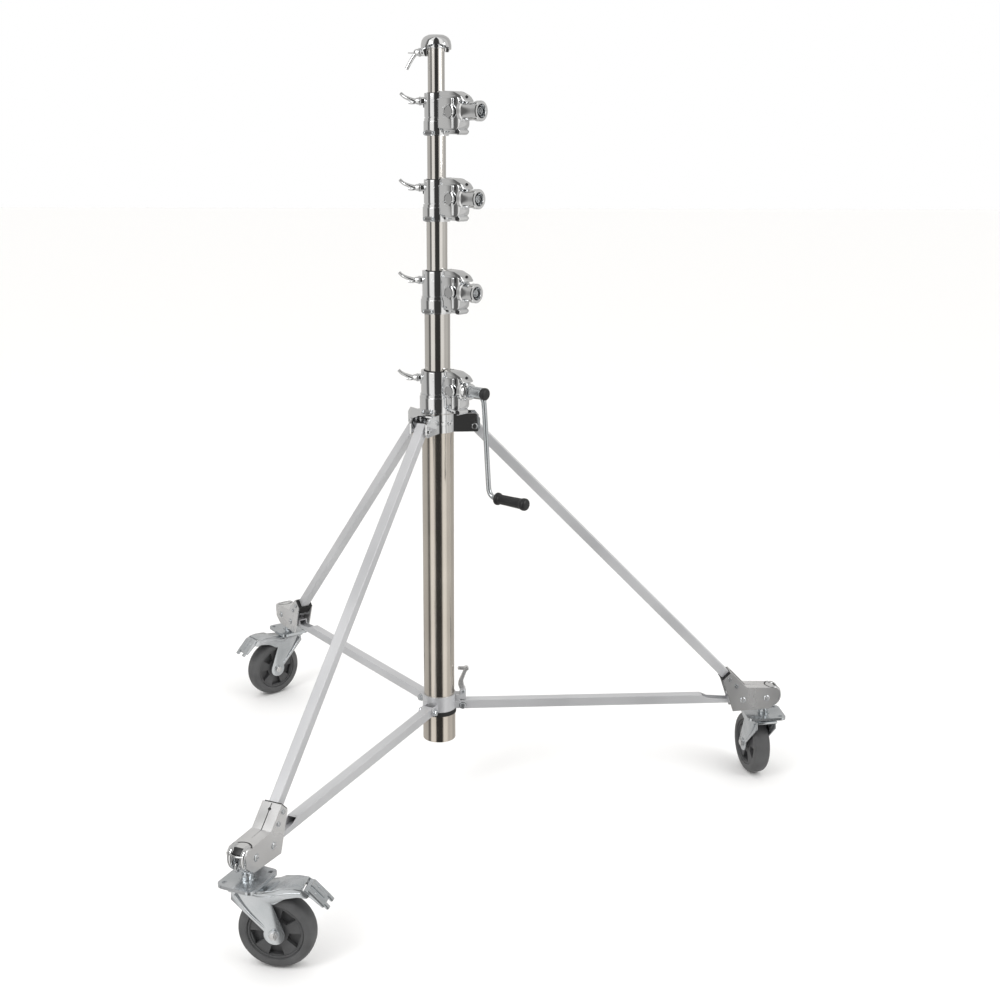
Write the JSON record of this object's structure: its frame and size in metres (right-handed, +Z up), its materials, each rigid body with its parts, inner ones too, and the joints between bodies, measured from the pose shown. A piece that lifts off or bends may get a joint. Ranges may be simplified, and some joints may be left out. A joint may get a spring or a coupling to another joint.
{
  "type": "crank lighting stand",
  "caption": "Geared wind-up lighting stand with telescopic tubes on a folding tripod base with braked swivel casters.",
  "frame": {"origin": "on the floor, under the axis of the column", "axes": "+Z up along the column, +X along the first leg"},
  "size_m": [1.4489, 1.5644, 1.831],
  "materials": {
    "polished_tube": "polished stainless",
    "brushed_tube": "brushed stainless",
    "chrome": "polished chrome",
    "satin_steel": "satin silver",
    "zinc": "zinc plated",
    "blue_zinc": "blue zinc plated",
    "black_plastic": "matte",
    "hub_plastic": "matte",
    "black_rubber": "matte",
    "grey_tyre": "matte grey"
  },
  "bodies": {
    "base": {"base_tube": "brushed_tube", "foot_sleeve": "brushed_tube", "stop_ring": "black_rubber", "upper_hub": "chrome", "collar_1": "chrome", "gear_housing_1": "chrome"},
    "riser_1": {"riser_1": "polished_tube", "collar_2": "chrome", "gear_housing_2": "chrome"},
    "riser_2": {"riser_2": "polished_tube", "collar_3": "chrome", "gear_housing_3": "chrome"},
    "riser_3": {"riser_3": "polished_tube", "collar_4": "chrome", "gear_housing_4": "chrome"},
    "riser_4": {"riser_4": "polished_tube", "top_cap": "chrome"},
    "crank": {"input_shaft_1": "blue_zinc", "crank_arm": "blue_zinc", "crank_cap": "black_plastic"},
    "crank_grip": {"crank_grip": "black_plastic"},
    "input_shaft_2": {"input_shaft_2": "blue_zinc"},
    "input_shaft_3": {"input_shaft_3": "blue_zinc"},
    "input_shaft_4": {"input_shaft_4": "blue_zinc"},
    "t_bolt_1": {"t_bolt_1": "chrome"},
    "t_bolt_2": {"t_bolt_2": "chrome"},
    "t_bolt_3": {"t_bolt_3": "chrome"},
    "t_bolt_4": {"t_bolt_4": "chrome"},
    "t_bolt_5": {"t_bolt_5": "chrome"},
    "lower_collar": {"lower_collar": "satin_steel"},
    "latch_lever": {"latch_lever": "zinc"},
    "brace_1": {"brace_1": "satin_steel"},
    "leg_1": {"leg_1": "satin_steel", "foot_bracket_1": "zinc", "socket_liner_1": "black_rubber", "caster_plate_1": "blue_zinc"},
    "caster_fork_1": {"caster_fork_1": "blue_zinc"},
    "wheel_1": {"wheel_hub_1": "hub_plastic", "tyre_1": "grey_tyre"},
    "brake_pedal_1": {"brake_pedal_1": "blue_zinc"},
    "brace_2": {"brace_2": "satin_steel"},
    "leg_2": {"leg_2": "satin_steel", "foot_bracket_2": "zinc", "socket_liner_2": "black_rubber", "caster_plate_2": "blue_zinc"},
    "caster_fork_2": {"caster_fork_2": "blue_zinc"},
    "wheel_2": {"wheel_hub_2": "hub_plastic", "tyre_2": "grey_tyre"},
    "brake_pedal_2": {"brake_pedal_2": "blue_zinc"},
    "brace_3": {"brace_3": "satin_steel"},
    "leg_3": {"leg_3": "satin_steel", "foot_bracket_3": "zinc", "socket_liner_3": "black_rubber", "caster_plate_3": "blue_zinc"},
    "caster_fork_3": {"caster_fork_3": "blue_zinc"},
    "wheel_3": {"wheel_hub_3": "hub_plastic", "tyre_3": "grey_tyre"},
    "brake_pedal_3": {"brake_pedal_3": "blue_zinc"}
  },
  "joints": [
    {"name": "crank_turn", "type": "hinge", "parent": "base", "child": "crank", "pos_m": [0.07071, -0.07071, 1.042], "axis": [0.7071, -0.7071, 0], "range_deg": [0, 7200]},
    {"name": "crank_grip_spin", "type": "hinge", "parent": "crank", "child": "crank_grip", "pos_m": [0.14142, -0.14142, 0.801], "axis": [0.7071, -0.7071, 0], "continuous": true},
    {"name": "riser_1_slide", "type": "slide", "parent": "base", "child": "riser_1", "axis": [0, 0, 1], "range_m": [0, 0.6914]},
    {"name": "riser_2_slide", "type": "slide", "parent": "riser_1", "child": "riser_2", "axis": [0, 0, 1], "range_m": [0, 0.9]},
    {"name": "input_shaft_2_turn", "type": "hinge", "parent": "riser_1", "child": "input_shaft_2", "pos_m": [0.07071, -0.07071, 1.27], "axis": [0.7071, -0.7071, 0], "range_deg": [0, 9377]},
    {"name": "riser_3_slide", "type": "slide", "parent": "riser_2", "child": "riser_3", "axis": [0, 0, 1], "range_m": [0, 1]},
    {"name": "input_shaft_3_turn", "type": "hinge", "parent": "riser_2", "child": "input_shaft_3", "pos_m": [0.07071, -0.07071, 1.479], "axis": [0.7071, -0.7071, 0], "range_deg": [0, 10419]},
    {"name": "riser_4_slide", "type": "slide", "parent": "riser_3", "child": "riser_4", "axis": [0, 0, 1], "range_m": [0, 1.1]},
    {"name": "input_shaft_4_turn", "type": "hinge", "parent": "riser_3", "child": "input_shaft_4", "pos_m": [0.07071, -0.07071, 1.668], "axis": [0.7071, -0.7071, 0], "range_deg": [0, 11461]},
    {"name": "t_bolt_1_turn", "type": "hinge", "parent": "base", "child": "t_bolt_1", "pos_m": [-0.04951, 0.00696, 1.064], "axis": [-0.9903, 0.1392, 0], "range_deg": [-180, 180]},
    {"name": "t_bolt_2_turn", "type": "hinge", "parent": "riser_1", "child": "t_bolt_2", "pos_m": [-0.04951, 0.00696, 1.292], "axis": [-0.9903, 0.1392, 0], "range_deg": [-180, 180]},
    {"name": "t_bolt_3_turn", "type": "hinge", "parent": "riser_2", "child": "t_bolt_3", "pos_m": [-0.04951, 0.00696, 1.501], "axis": [-0.9903, 0.1392, 0], "range_deg": [-180, 180]},
    {"name": "t_bolt_4_turn", "type": "hinge", "parent": "riser_3", "child": "t_bolt_4", "pos_m": [-0.04951, 0.00696, 1.69], "axis": [-0.9903, 0.1392, 0], "range_deg": [-180, 180]},
    {"name": "t_bolt_5_turn", "type": "hinge", "parent": "riser_4", "child": "t_bolt_5", "pos_m": [-0.04951, 0.00696, 1.794], "axis": [-0.9903, 0.1392, 0], "range_deg": [-180, 180]},
    {"name": "base_fold", "type": "slide", "parent": "base", "child": "lower_collar", "axis": [0, 0, 1], "range_m": [0, 0.41863]},
    {"name": "brace_1_fold", "type": "hinge", "parent": "lower_collar", "child": "brace_1", "pos_m": [0.058, 0, 0.239], "axis": [0, 1, 0], "range_deg": [0, 73.33]},
    {"name": "leg_1_fold", "type": "hinge", "parent": "brace_1", "child": "leg_1", "pos_m": [0.772, 0, 0.232], "axis": [0, -1, 0], "range_deg": [0, 39.67]},
    {"name": "caster_1_swivel", "type": "hinge", "parent": "leg_1", "child": "caster_fork_1", "pos_m": [0.833, 0, 0.19], "axis": [0, 0, 1], "continuous": true},
    {"name": "wheel_1_spin", "type": "hinge", "parent": "caster_fork_1", "child": "wheel_1", "pos_m": [0.82581, 0.05856, 0.08], "axis": [-0.9925, -0.1219, 0], "continuous": true},
    {"name": "brake_pedal_1_press", "type": "hinge", "parent": "caster_fork_1", "child": "brake_pedal_1", "pos_m": [0.81764, 0.12506, 0.174], "axis": [-0.9925, -0.1219, 0], "range_deg": [0, 12]},
    {"name": "brace_2_fold", "type": "hinge", "parent": "lower_collar", "child": "brace_2", "pos_m": [-0.029, 0.05023, 0.239], "axis": [-0.866, -0.5, 0], "range_deg": [0, 73.33]},
    {"name": "leg_2_fold", "type": "hinge", "parent": "brace_2", "child": "leg_2", "pos_m": [-0.386, 0.66857, 0.232], "axis": [0.866, 0.5, 0], "range_deg": [0, 39.67]},
    {"name": "caster_2_swivel", "type": "hinge", "parent": "leg_2", "child": "caster_fork_2", "pos_m": [-0.4165, 0.7214, 0.19], "axis": [0, 0, 1], "continuous": true},
    {"name": "wheel_2_spin", "type": "hinge", "parent": "caster_fork_2", "child": "wheel_2", "pos_m": [-0.46362, 0.68589, 0.08], "axis": [0.6018, -0.7986, 0], "continuous": true},
    {"name": "brake_pedal_2_press", "type": "hinge", "parent": "caster_fork_2", "child": "brake_pedal_2", "pos_m": [-0.51713, 0.64557, 0.174], "axis": [0.6018, -0.7986, 0], "range_deg": [0, 12]},
    {"name": "brace_3_fold", "type": "hinge", "parent": "lower_collar", "child": "brace_3", "pos_m": [-0.029, -0.05023, 0.239], "axis": [0.866, -0.5, 0], "range_deg": [0, 73.33]},
    {"name": "leg_3_fold", "type": "hinge", "parent": "brace_3", "child": "leg_3", "pos_m": [-0.386, -0.66857, 0.232], "axis": [-0.866, 0.5, 0], "range_deg": [0, 39.67]},
    {"name": "caster_3_swivel", "type": "hinge", "parent": "leg_3", "child": "caster_fork_3", "pos_m": [-0.4165, -0.7214, 0.19], "axis": [0, 0, 1], "continuous": true},
    {"name": "wheel_3_spin", "type": "hinge", "parent": "caster_fork_3", "child": "wheel_3", "pos_m": [-0.35925, -0.73567, 0.08], "axis": [0.2419, 0.9703, 0], "continuous": true},
    {"name": "brake_pedal_3_press", "type": "hinge", "parent": "caster_fork_3", "child": "brake_pedal_3", "pos_m": [-0.29424, -0.75188, 0.174], "axis": [0.2419, 0.9703, 0], "range_deg": [0, 12]},
    {"name": "latch_lever_turn", "type": "hinge", "parent": "lower_collar", "child": "latch_lever", "pos_m": [0.059, 0, 0.273], "axis": [0, 1, 0], "range_deg": [0, 30]}
  ],
  "couplings": [
    {"joint": "riser_1_slide", "follows": "crank_turn", "m_per_rad": 0.0055},
    {"joint": "input_shaft_2_turn", "follows": "riser_2_slide", "rad_per_m": 181.82},
    {"joint": "input_shaft_3_turn", "follows": "riser_3_slide", "rad_per_m": 181.82},
    {"joint": "input_shaft_4_turn", "follows": "riser_4_slide", "rad_per_m": 181.82},
    {"joint": "brace_1_fold", "follows": "base_fold", "rad_per_m": 3.0487},
    {"joint": "brace_2_fold", "follows": "base_fold", "rad_per_m": 3.0487},
    {"joint": "brace_3_fold", "follows": "base_fold", "rad_per_m": 3.0487},
    {"joint": "leg_1_fold", "follows": "base_fold", "rad_per_m": 1.6456},
    {"joint": "leg_2_fold", "follows": "base_fold", "rad_per_m": 1.6456},
    {"joint": "leg_3_fold", "follows": "base_fold", "rad_per_m": 1.6456}
  ]
}
